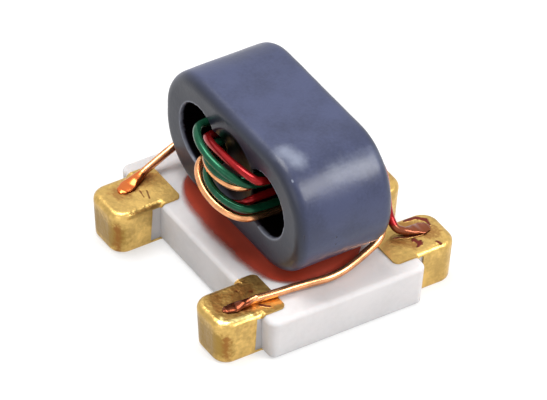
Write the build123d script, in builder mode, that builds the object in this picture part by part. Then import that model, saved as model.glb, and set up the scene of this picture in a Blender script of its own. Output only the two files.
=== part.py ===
from build123d import *

import os
from collections import namedtuple
from math import cos, pi, radians, sin, sqrt, tan

# RF transformer: a ferrite core with two holes, wound with three enamelled wires, glued flat
# on a white base whose five tabs carry wrapped gold terminals. Sizes are in millimetres.
# X runs along the rows of terminals, Y across them, Z up. The origin is at the middle of
# the underside, on the plane that the terminals are soldered down on.

# Base, measured at its underside; its sides lean out towards the top. Past the outer tabs its
# two ends are wider than its middle by a small step on each side
TAB_PITCH = 1.27
TAB_WIDTH = 0.62
TAB_LENGTH = 0.65
END_MARGIN = 0.25
BASE_WIDTH = 2.16
END_STEP = 0.055
BASE_HEIGHT = 0.60
BASE_DRAFT = 3.7
BASE_CORNER = 0.09
TAB_TIP_RADIUS = 0.17
NOTCH_RADIUS = 0.28
ROOT_RADIUS = 0.13
TOP_EDGE_ROUND = 0.06
UNDER_EDGE_ROUND = 0.03

# Terminals, a gold skin over each tab
PLATING = 0.025
PAD_WIDTH = 0.76
PAD_INLAY = 0.26
PAD_CORNER = 0.08
FLANK_SETBACK = 0.115

# Ferrite core
CORE_LENGTH = 3.32
CORE_HEIGHT = 1.75
CORE_THICKNESS = 1.42
CORE_END_FLAT = 0.11
CORE_EDGE_ROUND = 0.15
CORE_SHIFT_X = 0.02
CORE_SHIFT_Y = 0.05
HOLE_DIAMETER = 0.92
HOLE_PITCH = 1.57
HOLE_RISE = 0.05
HOLE_RIM_ROUND = 0.03
DISH_DIAMETER = 1.12
DISH_DEPTH = 0.18

# Adhesive between the core and the base
GLUE_GAP = 0.10
GLUE_CLIMB = 0.08
GLUE_FRONT_FLOW = 0.29
GLUE_BACK_FLOW = 0.05
GLUE_END_SETBACK = 0.28
GLUE_SLOPE = 0.16
GLUE_CORNER = 0.60
GLUE_LIP = 0.04

# Enamelled wire
WIRE_DIAMETER = 0.11
WIRE_GAP = 0.014
LEAD_CLEARANCE = 0.02
BACK_CLEARANCE = 0.13
CROSSING_RUNS = 5
BOND_THICKNESS = 0.045
BOND_SINK = 0.006

# Worked out from the sizes above
BASE_LENGTH = 2 * (TAB_PITCH + TAB_WIDTH / 2 + END_MARGIN)
BASE_TOP = PLATING + BASE_HEIGHT
PAD_TOP = BASE_TOP + PLATING
PAD_START = BASE_WIDTH / 2 - PAD_INLAY
TAB_TIP = BASE_WIDTH / 2 + TAB_LENGTH
CORE_BOTTOM = BASE_TOP + GLUE_GAP
CORE_FRONT = CORE_SHIFT_Y - CORE_THICKNESS / 2
CORE_BACK = CORE_SHIFT_Y + CORE_THICKNESS / 2
CORE_END_RADIUS = (CORE_HEIGHT - CORE_END_FLAT) / 2
HOLE_Z = CORE_BOTTOM + CORE_HEIGHT / 2 + HOLE_RISE
DISH_RADIUS = ((DISH_DIAMETER / 2) ** 2 + DISH_DEPTH**2) / (2 * DISH_DEPTH)
GLUE_END = CORE_LENGTH / 2 - GLUE_END_SETBACK
WIRE_RADIUS = WIRE_DIAMETER / 2
WIRE_STEP = WIRE_DIAMETER + WIRE_GAP
BOND_Z = PAD_TOP + WIRE_RADIUS

# Two lengths closer than this are the same, and a cutting tool reaches this far past a face
NEAR = 0.001
PAST = 1

# Tabs and terminals, numbered round the base: x of the centre line, and side along Y
TABS = [(-TAB_PITCH, -1), (TAB_PITCH, -1), (TAB_PITCH, 1), (0, 1), (-TAB_PITCH, 1)]


# --- Wire routes -------------------------------------------------------------------------

# One turn crosses the front of the web from the left hole to the right one. A slot counts
# wires round the wall of the hole, up from the web, and a layer counts them in from that wall.
Turn = namedtuple("Turn", "left_slot left_layer right_slot right_layer bulge sag")

COPPER_TURNS = [Turn(0.36, 0.75, 0.18, 0.2, 0.23, -0.03), Turn(-2.04, 1.25, -3.48, 0.0, 0.35, -0.03)]
RED_TURNS = [Turn(-2.53, 0.12, -1.29, 0.55, 0.16, -0.19), Turn(2.2, 0.79, 4.53, 0.75, 0.17, 0.12)]
GREEN_TURNS = [
    Turn(3.68, 0.0, 1.66, 1.16, 0.37, 0.15),
    Turn(1.24, 0.0, 1.28, 0.08, 0.28, -0.02),
    Turn(-1.03, 0.0, -2.83, 1.01, 0.31, 0.02),
]

# A return crosses behind the core: how far out, in wire steps, and how much it arches up
Return = namedtuple("Return", "steps sag")
COPPER_RETURNS = [Return(1.48, -0.06)]
GREEN_RETURNS = [Return(2.18, 0.0), Return(0.5, 0.06)]
RED_RETURNS = [Return(3.32, -0.04)]


def hole_pass(side, slot, layer):
    """X and Z of a wire inside the left (-1) or right (1) hole."""
    wall = HOLE_DIAMETER / 2 - WIRE_RADIUS - WIRE_GAP
    angle = slot * WIRE_STEP / wall
    reach = wall - layer * WIRE_STEP
    x = CORE_SHIFT_X + side * (HOLE_PITCH / 2 - reach * cos(angle))
    return x, HOLE_Z + reach * sin(angle)


def crossing(start, end, face, outward, bulge, sag):
    """Points of a wire that leaves one hole at start, bows out over the web and enters at end."""
    points = []
    for step in range(CROSSING_RUNS + 1):
        swing = pi * step / CROSSING_RUNS
        along = (1 - cos(swing)) / 2
        x = start[0] + (end[0] - start[0]) * along
        z = start[1] + (end[1] - start[1]) * along + sag * sin(swing)
        points.append((x, face + outward * bulge * sin(swing), z))
    return points


def coil(turns, returns):
    """Points of a winding, from where it enters the left hole to where it leaves the right one."""
    points = []
    for number, turn in enumerate(turns):
        left = hole_pass(-1, turn.left_slot, turn.left_layer)
        right = hole_pass(1, turn.right_slot, turn.right_layer)
        if number > 0:
            back = returns[number - 1]
            points += crossing(previous, left, CORE_BACK, 1, back.steps * WIRE_STEP, back.sag)
        else:
            points.append((left[0], CORE_BACK, left[1]))
        points += crossing(left, right, CORE_FRONT, -1, turn.bulge, turn.sag)
        previous = right
    points.append((previous[0], CORE_BACK, previous[1]))
    return points


def core_end(height):
    """Distance of the core's rounded end from its middle, at a height above its underside."""
    rise = abs(height - CORE_END_RADIUS)
    return CORE_LENGTH / 2 - CORE_END_RADIUS + sqrt(max(CORE_END_RADIUS**2 - rise**2, 0))


def beside_end(side, z, spare=0.0):
    """X of a wire that runs along the core's end, just clear of it."""
    distance = core_end(z - CORE_BOTTOM) + WIRE_RADIUS + LEAD_CLEARANCE + spare
    return CORE_SHIFT_X + side * distance


def back_exit(points, side, drift, rise):
    """A point just behind the core, between a hole's back mouth and the rest of a lead."""
    x, y, z = points[0] if side < 0 else points[-1]
    return x + drift, y + BACK_CLEARANCE, z + rise


def copper_route():
    """From terminal 1 round the left end, two turns, and round the right end to terminal 2."""
    wound = coil(COPPER_TURNS, COPPER_RETURNS)
    left_lead = [
        (-TAB_PITCH - 0.19, -PAD_START - 0.22, BOND_Z),
        (beside_end(-1, CORE_BOTTOM + 0.21, 0.10), CORE_FRONT + 0.14, CORE_BOTTOM + 0.21),
        (beside_end(-1, CORE_BOTTOM + 0.33, 0.05), CORE_SHIFT_Y, CORE_BOTTOM + 0.33),
        (beside_end(-1, CORE_BOTTOM + 0.43, 0.04), CORE_BACK - 0.25, CORE_BOTTOM + 0.43),
        (beside_end(-1, CORE_BOTTOM + 0.52), CORE_BACK + 0.07, CORE_BOTTOM + 0.52),
        (CORE_SHIFT_X - CORE_LENGTH / 2 + 0.50, CORE_BACK + 0.16, CORE_BOTTOM + 0.68),
        back_exit(wound, -1, -0.12, -0.05),
    ]
    right_lead = [
        back_exit(wound, 1, 0.07, -0.01),
        (CORE_SHIFT_X + CORE_LENGTH / 2 - 0.80, CORE_BACK + 0.17, CORE_BOTTOM + 0.50),
        (CORE_SHIFT_X + CORE_LENGTH / 2 - 0.56, CORE_BACK + 0.15, CORE_BOTTOM + 0.31),
        (CORE_SHIFT_X + GLUE_END - 0.12, CORE_BACK + 0.09, BOND_Z + 0.13),
        (CORE_SHIFT_X + GLUE_END - 0.01, CORE_BACK - 0.22, BOND_Z + 0.07),
        (CORE_SHIFT_X + GLUE_END + 0.15, CORE_SHIFT_Y - 0.05, BOND_Z + 0.022),
        (CORE_SHIFT_X + GLUE_END + 0.06, CORE_FRONT + 0.20, BOND_Z + 0.012),
        (TAB_PITCH + 0.155, -PAD_START - 0.02, BOND_Z + 0.006),
        (TAB_PITCH + 0.12, -PAD_START - 0.30, BOND_Z),
    ]
    return left_lead + wound + right_lead


def red_route():
    """From the middle terminal 4, two turns, and down to terminal 3."""
    wound = coil(RED_TURNS, RED_RETURNS)
    left_lead = [
        (-0.13, PAD_START + 0.32, BOND_Z),
        (-0.17, CORE_BACK + 0.35, BOND_Z + 0.19),
        (-0.30, CORE_BACK + 0.30, HOLE_Z - 0.50),
        back_exit(wound, -1, 0.02, -0.03),
    ]
    right_lead = [
        back_exit(wound, 1, 0.04, -0.03),
        (CORE_SHIFT_X + HOLE_PITCH / 2 + 0.10, CORE_BACK + 0.31, HOLE_Z - 0.05),
        (TAB_PITCH - 0.36, CORE_BACK + 0.37, HOLE_Z - 0.45),
        (TAB_PITCH - 0.30, CORE_BACK + 0.37, BOND_Z + 0.19),
        (TAB_PITCH - 0.14, PAD_START + 0.31, BOND_Z + 0.03),
        (TAB_PITCH - 0.06, PAD_START + 0.42, BOND_Z),
    ]
    return left_lead + wound + right_lead


def green_route():
    """From terminal 5 at the back, three turns, and down to the middle terminal 4."""
    wound = coil(GREEN_TURNS, GREEN_RETURNS)
    left_lead = [
        (-TAB_PITCH + 0.03, PAD_START + 0.32, BOND_Z),
        (-TAB_PITCH + 0.06, CORE_BACK + 0.38, BOND_Z + 0.20),
        (-TAB_PITCH + 0.14, CORE_BACK + 0.42, HOLE_Z - 0.45),
        (CORE_SHIFT_X - HOLE_PITCH / 2 - 0.15, CORE_BACK + 0.36, HOLE_Z + 0.02),
        back_exit(wound, -1, -0.06, -0.04),
    ]
    right_lead = [
        back_exit(wound, 1, -0.03, -0.02),
        (0.36, CORE_BACK + 0.30, HOLE_Z - 0.47),
        (0.19, CORE_BACK + 0.35, BOND_Z + 0.19),
        (0.13, PAD_START + 0.32, BOND_Z),
    ]
    return left_lead + wound + right_lead


# --- Solids ------------------------------------------------------------------------------


def corner_radii(points):
    """The largest round that each corner of a route has room for."""
    radii = []
    for before, corner, after in zip(points, points[1:], points[2:]):
        first = Vector(*corner) - Vector(*before)
        second = Vector(*after) - Vector(*corner)
        half_turn = radians(first.get_angle(second)) / 2
        radii.append(0.45 * min(first.length, second.length) / tan(half_turn))
    return radii


def wire_tube(points):
    """Round wire along a route of straight runs joined by tangent arcs."""
    radii = corner_radii(points)
    with BuildPart() as tube:
        with BuildLine() as route:
            FilletPolyline(*points, radius=radii)
        with BuildSketch(Plane(origin=route.line @ 0, z_dir=route.line % 0)):
            Circle(WIRE_RADIUS)
        sweep()
    true_volume = pi * WIRE_RADIUS**2 * route.wires()[0].length
    print(f"wire: least radius {min(radii):.3f}, volume ratio {tube.part.volume / true_volume:.4f}")
    return tube.part


def bond(start, heading, length, width):
    """Flattened end of a wire, pressed onto a pad from a start point along a heading in degrees."""
    direction = Vector(cos(radians(heading)), sin(radians(heading)), 0)
    across = direction.cross(Vector(0, 0, 1))
    sections = [
        (-0.01, WIRE_DIAMETER, WIRE_DIAMETER),
        (0.35, 0.75 * width, 0.75 * WIRE_DIAMETER),
        (0.65, width, BOND_THICKNESS),
        (0.90, 0.75 * width, 0.8 * BOND_THICKNESS),
        (1.00, 0.30 * width, 0.5 * BOND_THICKNESS),
    ]
    with BuildPart() as flat:
        for along, wide, high in sections:
            foot = Vector(start[0], start[1], PAD_TOP - BOND_SINK) + direction * (along * length)
            middle = foot + Vector(0, 0, high / 2)
            with BuildSketch(Plane(origin=middle, x_dir=across, z_dir=direction)):
                Ellipse(wide / 2, high / 2)
        loft()
        split(bisect_by=Plane.XY.offset(PAD_TOP), keep=Keep.TOP)
    return flat.part


def wound_wire(points, ends):
    """A whole wire: its tube and its two flattened ends, each a heading, a length and a width."""
    tube = wire_tube(points)
    for point, (heading, length, width) in zip((points[0], points[-1]), ends):
        tube += bond(point, heading, length, width)
    return tube


# Each winding: its route and its two ends, from the first terminal to the last
WINDINGS = [
    ("copper_winding", copper_route(), [(-68, 0.46, 0.22), (-95, 0.40, 0.16)]),
    ("red_winding", red_route(), [(92, 0.38, 0.17), (88, 0.38, 0.16)]),
    ("green_winding", green_route(), [(92, 0.38, 0.17), (88, 0.38, 0.17)]),
]


def base_body(skin):
    """The base with its five tabs, or the same form grown by a skin on every side."""
    half_length = BASE_LENGTH / 2 + skin
    half_width = BASE_WIDTH / 2 + skin
    half_end = half_width + END_STEP
    half_tab = TAB_WIDTH / 2 + skin
    tip = TAB_TIP + skin
    stub = BASE_LENGTH / 2 - TAB_PITCH - TAB_WIDTH / 2
    corner = min(BASE_CORNER, 0.36 * stub) + skin
    root = min(ROOT_RADIUS, 0.52 * stub) - skin
    notch = min(NOTCH_RADIUS, 0.45 * (TAB_PITCH - TAB_WIDTH)) - skin
    with BuildPart() as body:
        with BuildSketch(Plane.XY.offset(PLATING - skin)) as plan:
            Rectangle(2 * half_length, 2 * half_width)
            with Locations(*[(side * (half_length + TAB_PITCH) / 2, 0) for side in (-1, 1)]):
                Rectangle(half_length - TAB_PITCH, 2 * half_end)
            with Locations(*[(x, side * tip / 2) for x, side in TABS]):
                Rectangle(2 * half_tab, tip)
            tips = plan.vertices().filter_by(lambda v: abs(v.Y) > tip - NEAR)
            fillet(tips, min(TAB_TIP_RADIUS, 0.45 * TAB_WIDTH) + skin)
            ends = plan.vertices().filter_by(lambda v: abs(abs(v.Y) - half_end) < NEAR)
            notches = plan.vertices().filter_by(lambda v: abs(abs(v.Y) - half_width) < NEAR)
            fillet(ends.filter_by(lambda v: abs(v.X) > half_length - NEAR), corner)
            fillet(ends.filter_by(lambda v: abs(v.X) < half_length - NEAR), root)
            fillet(notches, notch)
        extrude(amount=BASE_HEIGHT + 2 * skin, taper=-BASE_DRAFT)
        fillet(body.faces().sort_by(Axis.Z)[-1].edges(), TOP_EDGE_ROUND + skin)
        fillet(body.faces().sort_by(Axis.Z)[0].edges(), UNDER_EDGE_ROUND + skin)
    return body.part


def pad_prism(x, side, width, floor, depth):
    """Everything above or below a level inside the outline of one pad."""
    reach = TAB_TIP + PAST
    with BuildPart() as prism:
        with BuildSketch(Plane.XY.offset(floor)) as pad:
            with Locations((x, side * (PAD_START + reach) / 2)):
                Rectangle(width, reach - PAD_START)
            fillet(pad.vertices().group_by(Axis.Y)[-1 if side < 0 else 0], PAD_CORNER)
        extrude(amount=depth)
    return prism.part


def tip_block(x, side):
    """Everything on the outer side of the line where a tab's flanks begin to be plated."""
    start = BASE_WIDTH / 2 + END_STEP + FLANK_SETBACK
    reach = TAB_TIP + PAST
    with BuildPart() as block:
        with Locations((x, side * (start + reach) / 2, 0)):
            Box(1.4 * PAD_WIDTH, reach - start, 4 * BASE_HEIGHT)
    return block.part


def terminal_zone(x, side):
    """Where one terminal lies: the tab's tip with part of its flanks, and the pads on and below it."""
    top = pad_prism(x, side, PAD_WIDTH, BASE_TOP - TOP_EDGE_ROUND / 2, PAST)
    under = pad_prism(x, side, TAB_WIDTH, PLATING + UNDER_EDGE_ROUND / 2, -PAST)
    return tip_block(x, side) + top + under


def rounded_core():
    """Bar with nearly half-round ends and softened edges, lying along X on its flat side."""
    middle = Plane.XZ.offset(-CORE_BACK)
    with BuildPart() as bar:
        with BuildSketch(middle):
            with Locations((CORE_SHIFT_X, CORE_BOTTOM + CORE_HEIGHT / 2)):
                RectangleRounded(CORE_LENGTH, CORE_HEIGHT, CORE_END_RADIUS)
        extrude(amount=CORE_THICKNESS)
        faces = bar.faces().filter_by(Axis.Y)
        fillet(faces.edges(), CORE_EDGE_ROUND)
    return bar.part


# --- Pieces ------------------------------------------------------------------------------

os.makedirs("parts", exist_ok=True)

plain_body = base_body(0.0)
with BuildPart() as base:
    add(plain_body)
base.part.label = "base"
export_step(base.part, "parts/base.step")

grown_body = base_body(PLATING)
terminals = []
for number, (x, side) in enumerate(TABS, start=1):
    zone = terminal_zone(abs(x), side)
    with BuildPart() as terminal:
        add(grown_body)
        add(zone, mode=Mode.INTERSECT)
        add(base.part, mode=Mode.SUBTRACT)
        if x < 0:
            mirror(about=Plane.YZ, mode=Mode.REPLACE)
    terminal.part.label = f"terminal_{number}"
    export_step(terminal.part, f"parts/terminal_{number}.step")
    terminals.append(terminal.part)

core_bar = rounded_core()
dish_reach = CORE_THICKNESS / 2 + DISH_RADIUS - DISH_DEPTH
with BuildPart() as ferrite_core:
    add(core_bar)
    for side in (-1, 1):
        with Locations((CORE_SHIFT_X, CORE_SHIFT_Y + side * dish_reach, HOLE_Z)):
            Sphere(DISH_RADIUS, mode=Mode.SUBTRACT)
    with BuildSketch(Plane.XZ.offset(-CORE_BACK - PAST)):
        with Locations((CORE_SHIFT_X - HOLE_PITCH / 2, HOLE_Z), (CORE_SHIFT_X + HOLE_PITCH / 2, HOLE_Z)):
            Circle(HOLE_DIAMETER / 2)
    extrude(amount=CORE_THICKNESS + 2 * PAST, mode=Mode.SUBTRACT)
    cylinders = ferrite_core.faces().filter_by(GeomType.CYLINDER)
    walls = cylinders.filter_by(lambda f: abs(f.radius - HOLE_DIAMETER / 2) < NEAR)
    rims = walls.edges().filter_by(GeomType.LINE, reverse=True)
    fillet(rims, HOLE_RIM_ROUND)
ferrite_core.part.label = "ferrite_core"
export_step(ferrite_core.part, "parts/ferrite_core.step")

glue_start = CORE_FRONT - GLUE_FRONT_FLOW
glue_finish = CORE_BACK + GLUE_BACK_FLOW
glue_middle = (glue_start + glue_finish) / 2
with BuildPart() as adhesive:
    with BuildSketch(Plane.XY.offset(BASE_TOP)):
        with Locations((CORE_SHIFT_X, glue_middle)):
            RectangleRounded(2 * GLUE_END, glue_finish - glue_start, GLUE_CORNER)
    with BuildSketch(Plane.XY.offset(CORE_BOTTOM + GLUE_CLIMB)):
        with Locations((CORE_SHIFT_X, CORE_SHIFT_Y)):
            RectangleRounded(2 * (GLUE_END - GLUE_SLOPE), CORE_THICKNESS + GLUE_LIP, GLUE_CORNER / 2)
    loft()
    add([core_bar] + terminals, mode=Mode.SUBTRACT)
adhesive.part.label = "adhesive"
export_step(adhesive.part, "parts/adhesive.step")

for name, route, ends in WINDINGS:
    solid = wound_wire(route, ends)
    with BuildPart() as wire:
        add(solid)
    wire.part.label = name
    export_step(wire.part, f"parts/{name}.step")
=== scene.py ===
"""Looks of a surface-mount RF transformer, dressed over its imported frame.

Pieces are modelled in millimetres, one Blender unit each, and brought to metres when they are
finished. X runs along the rows of terminals, Y across them and Z up; the origin is at the
middle of the underside.
"""

import math
from collections import namedtuple
from contextlib import contextmanager

import bmesh
import bpy
from mathutils import Matrix, Quaternion, Vector, noise


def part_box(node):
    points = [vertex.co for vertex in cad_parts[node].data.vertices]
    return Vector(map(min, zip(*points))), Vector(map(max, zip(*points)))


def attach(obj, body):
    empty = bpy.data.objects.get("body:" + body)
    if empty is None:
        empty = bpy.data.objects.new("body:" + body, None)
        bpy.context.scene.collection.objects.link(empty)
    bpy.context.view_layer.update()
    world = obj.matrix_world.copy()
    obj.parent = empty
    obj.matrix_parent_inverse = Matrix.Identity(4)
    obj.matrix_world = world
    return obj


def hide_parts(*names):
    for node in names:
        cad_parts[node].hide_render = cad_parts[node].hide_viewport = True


bl_info = {
    "name": "Wound Core Transformer",
    "version": (1, 0, 0),
    "blender": (4, 5, 0),
    "location": "3D View > Sidebar > Transformer",
    "description": "Models and finishes the pieces of a small wire-wound transformer",
    "category": "Object",
}

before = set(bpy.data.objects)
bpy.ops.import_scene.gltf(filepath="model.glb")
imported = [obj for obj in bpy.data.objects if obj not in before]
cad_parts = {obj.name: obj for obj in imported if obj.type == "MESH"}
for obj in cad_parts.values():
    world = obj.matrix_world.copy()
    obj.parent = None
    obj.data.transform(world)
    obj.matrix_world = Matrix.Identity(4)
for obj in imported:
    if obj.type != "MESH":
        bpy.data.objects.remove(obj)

MM = 0.001
BODY = "root"
TERMINALS = ["terminal_1", "terminal_2", "terminal_3", "terminal_4", "terminal_5"]


def node_box(node):
    """Lowest and highest corner of a node, in millimetres."""
    low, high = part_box(node)
    return low / MM, high / MM


CORE_LOW, CORE_HIGH = node_box("ferrite_core")
GLUE_LOW, GLUE_HIGH = node_box("adhesive")
PAD_LOW, PAD_HIGH = node_box("terminal_2")
CORE_MIDDLE = (CORE_LOW + CORE_HIGH) / 2
CORE_SIZE = CORE_HIGH - CORE_LOW
BASE_TOP = node_box("base")[1].z
PAD_TOP = PAD_HIGH.z
PAD_START = -PAD_HIGH.y
TAB_PITCH = (PAD_LOW.x + PAD_HIGH.x) / 2


# --- Sizes and colours ---


def length(name, description, millimetres):
    """A length that the user can change, held in metres."""
    return bpy.props.FloatProperty(
        name=name, description=description, default=millimetres * MM, min=0, precision=6, unit="LENGTH"
    )


def colour(name, description, red, green, blue):
    """A linear colour that the user can change."""
    return bpy.props.FloatVectorProperty(
        name=name,
        description=description,
        default=(red, green, blue),
        size=3,
        min=0,
        max=1,
        subtype="COLOR",
    )


def degrees(name, description, value):
    """An angle that the user can change."""
    return bpy.props.FloatProperty(
        name=name, description=description, default=math.radians(value), subtype="ANGLE"
    )


def watts(name, description, value):
    """The power of a lamp."""
    return bpy.props.FloatProperty(name=name, description=description, default=value, min=0, unit="POWER")


def proportion(name, description, share):
    """A part of a whole, from a hundredth to all of it."""
    return bpy.props.FloatProperty(
        name=name, description=description, default=share, min=0.01, max=1, subtype="FACTOR"
    )


class CoreSizes(bpy.types.PropertyGroup):
    """Sizes of the ferrite core"""

    end_flat: length("End flat", "Height of the flat part of each rounded end", 0.11)
    edge_round: length("Edge round", "Radius along the outline of the front and back faces", 0.15)
    hole_diameter: length("Hole diameter", "Diameter of each of the two holes", 0.92)
    hole_pitch: length("Hole pitch", "Distance between the axes of the holes", 1.57)
    hole_rise: length("Hole rise", "How far the holes lie above the core's middle", 0.05)
    dish_diameter: length("Dish diameter", "Width of the hollow worn into the web at each mouth", 1.12)
    dish_depth: length("Dish depth", "Depth of that hollow", 0.18)
    skin: length("Coating grain", "Size of the cells that the coated surface is rebuilt from", 0.020)
    lumps: length("Coating lumps", "How far the coating swells and sinks", 0.012)


class WireSizes(bpy.types.PropertyGroup):
    """Sizes of the enamelled wire"""

    diameter: length("Diameter", "Diameter of the wire over its enamel", 0.11)
    gap: length("Gap", "Air between a wire and its neighbour or the wall of a hole", 0.014)
    lead_clearance: length("Lead clearance", "Air between a lead and the end of the core", 0.02)
    pressed: length("Pressed thickness", "Thickness of a wire's end pressed on its pad", 0.045)


class GlueSizes(bpy.types.PropertyGroup):
    """Sizes of the bead of adhesive"""

    film: length("Film", "Thickness of the adhesive where it thins out on the base", 0.006)
    feather_share: proportion("Feather", "Part of the bead's slope over which it thins to nothing", 0.58)


class FinishColours(bpy.types.PropertyGroup):
    """Colours of the finishes"""

    moulding: colour("Moulding", "White plastic of the base", 0.66, 0.635, 0.635)
    gold: colour("Gold", "Plating of the terminals", 0.62, 0.405, 0.125)
    coating: colour("Coating", "Blue-grey coating of the core", 0.042, 0.050, 0.102)
    ground: colour("Ground face", "Thinly coated front and back of the core", 0.020, 0.023, 0.038)
    # Bare ferrite; inside the bores and over the dishes it is kept near-black as painted shade
    bore: colour("Bore", "Bare ferrite inside the holes", 0.012, 0.008, 0.008)
    adhesive: colour("Adhesive", "Dark red adhesive", 0.33, 0.035, 0.014)
    copper: colour("Copper enamel", "Clear enamel over copper", 0.80, 0.37, 0.17)
    blush: colour("Bright bond", "Bared copper of a lightly pressed end", 0.78, 0.20, 0.05)
    burnt: colour("Burnt bond", "Enamel burnt onto a hard-pressed end", 0.070, 0.018, 0.012)
    stain: colour("Heat stain", "Plating browned round a pressed end", 0.27, 0.095, 0.024)
    residue: colour("Residue", "Melted enamel left on the plating", 0.13, 0.012, 0.006)
    # Painted shade for the front faces of the terminal tips
    tarnish: colour("Tarnish", "Darker plating on the tip faces, as photographed", 0.31, 0.19, 0.045)
    # Painted highlight for the top edge of a terminal's tip
    burnish: colour("Burnished plating", "Brighter plating at an edge, as photographed", 1.0, 0.86, 0.36)
    # Colour of the painted highlights on the core's edges, end and hole rims
    polish: colour("Polished coating", "Paler coating at an edge, as photographed", 0.42, 0.46, 0.56)
    red: colour("Red enamel", "Red enamel", 0.33, 0.008, 0.010)
    green: colour("Green enamel", "Green enamel", 0.008, 0.085, 0.040)


class StageSettings(bpy.types.PropertyGroup):
    """Camera and lamps"""

    azimuth: degrees("Azimuth", "Turn of the camera round the part", 57.006)
    elevation: degrees("Elevation", "Height of the camera's line of sight", 39.462)
    roll: degrees("Roll", "Tilt of the camera about its line of sight", 1.644)
    distance: length("Distance", "Distance of the camera from the origin", 100.0)
    lens: bpy.props.FloatProperty(
        name="Lens", description="Focal length in millimetres", default=511.8, min=1, unit="CAMERA"
    )
    aim_right: length("Aim right", "How far right of the origin the camera aims", 0.0264)
    aim_up: length("Aim up", "How far above the origin the camera aims", 0.684)
    key: watts("Key", "Power of the lamp above", 0.0055)
    side: watts("Side", "Power of the side lamp", 0.0050)
    front: watts("Front", "Power of the low lamp", 0.0009)
    sky: proportion("Sky", "Strength of the light from all round", 0.48)
    glow: proportion("Glow", "Part of the floor's white that shadows leave alone", 0.55)


# --- Helpers ---


@contextmanager
def editing(piece):
    """Edit mode on one piece, which is selected alone."""
    select_only(piece)
    bpy.ops.object.mode_set(mode="EDIT")
    yield bmesh.from_edit_mesh(piece.data)
    bpy.ops.object.mode_set(mode="OBJECT")


def select_only(piece):
    """Makes a piece the one selected and active object."""
    bpy.ops.object.select_all(action="DESELECT")
    piece.select_set(True)
    bpy.context.view_layer.objects.active = piece


def new_piece(name):
    """The primitive that was just added, named, with its size and place moved into its mesh."""
    piece = bpy.context.active_object
    piece.name = name
    piece.data.name = name
    select_only(piece)
    bpy.ops.object.transform_apply(location=True, rotation=True, scale=True)
    return piece


def modify(piece, kind, **settings):
    """Adds a modifier with its settings and applies it."""
    select_only(piece)
    modifier = piece.modifiers.new(kind.title(), kind)
    for setting, value in settings.items():
        setattr(modifier, setting, value)
    bpy.ops.object.modifier_apply(modifier=modifier.name)


def cut(piece, tool):
    """Cuts a tool's form out of a piece and throws the tool away."""
    modify(piece, "BOOLEAN", object=tool, operation="DIFFERENCE", solver="EXACT")
    bpy.data.objects.remove(tool)


def bevel_edges(piece, wanted, radius, segments):
    """Rounds the edges that a test of their two ends picks."""
    with editing(piece) as mesh:
        bpy.ops.mesh.select_mode(type="EDGE")
        bpy.ops.mesh.select_all(action="DESELECT")
        for edge in mesh.edges:
            if wanted(edge.verts[0].co, edge.verts[1].co):
                edge.select_set(True)
        bpy.ops.mesh.bevel(offset=radius, segments=segments, affect="EDGES", clamp_overlap=False)


def clouds(name, size, depth=2):
    """A soft cloud pattern for the Displace modifier."""
    pattern = bpy.data.textures.new(name, "CLOUDS")
    pattern.noise_scale = size
    pattern.noise_depth = depth
    return pattern


def paint(piece, attribute, value):
    """Writes a value for each point of a mesh, from a function of its place."""
    layer = piece.data.attributes.new(attribute, "FLOAT", "POINT")
    for vertex in piece.data.vertices:
        layer.data[vertex.index].value = value(vertex.co)


def finish_piece(piece, nodes, material, angle=40):
    """Brings a modelled piece to metres, smooths it and ties it to the frame."""
    piece.data.transform(Matrix.Scale(MM, 4))
    piece.data.materials.clear()
    piece.data.materials.append(material)
    select_only(piece)
    bpy.ops.object.shade_smooth_by_angle(angle=math.radians(angle))
    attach(piece, BODY)
    if nodes:
        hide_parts(*nodes)


# --- Wire routes ---

# One turn crosses the front of the web from the left hole to the right one. A slot counts
# wires round the wall of the hole, up from the web, and a layer counts them in from that wall.
Turn = namedtuple("Turn", "left_slot left_layer right_slot right_layer bulge arch")

COPPER_TURNS = [Turn(0.36, 0.75, 0.18, 0.2, 0.23, -0.03), Turn(-2.04, 1.25, -3.48, 0.0, 0.35, -0.03)]
RED_TURNS = [Turn(-2.53, 0.12, -1.29, 0.55, 0.16, -0.19), Turn(2.2, 0.79, 4.53, 0.75, 0.17, 0.12)]
GREEN_TURNS = [
    Turn(3.68, 0.0, 1.66, 1.16, 0.37, 0.15),
    Turn(1.24, 0.0, 1.28, 0.08, 0.28, -0.02),
    Turn(-1.03, 0.0, -2.83, 1.01, 0.31, 0.02),
]

# A return crosses behind the core: how far out, in wire steps, and how much it arches up
Return = namedtuple("Return", "steps arch")
COPPER_RETURNS = [Return(1.48, -0.06)]
GREEN_RETURNS = [Return(2.18, 0.0), Return(0.5, 0.06)]
RED_RETURNS = [Return(3.32, -0.04)]

CROSSING_RUNS = 5
BACK_CLEARANCE = 0.13
GLUE_END_SETBACK = 0.28


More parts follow.
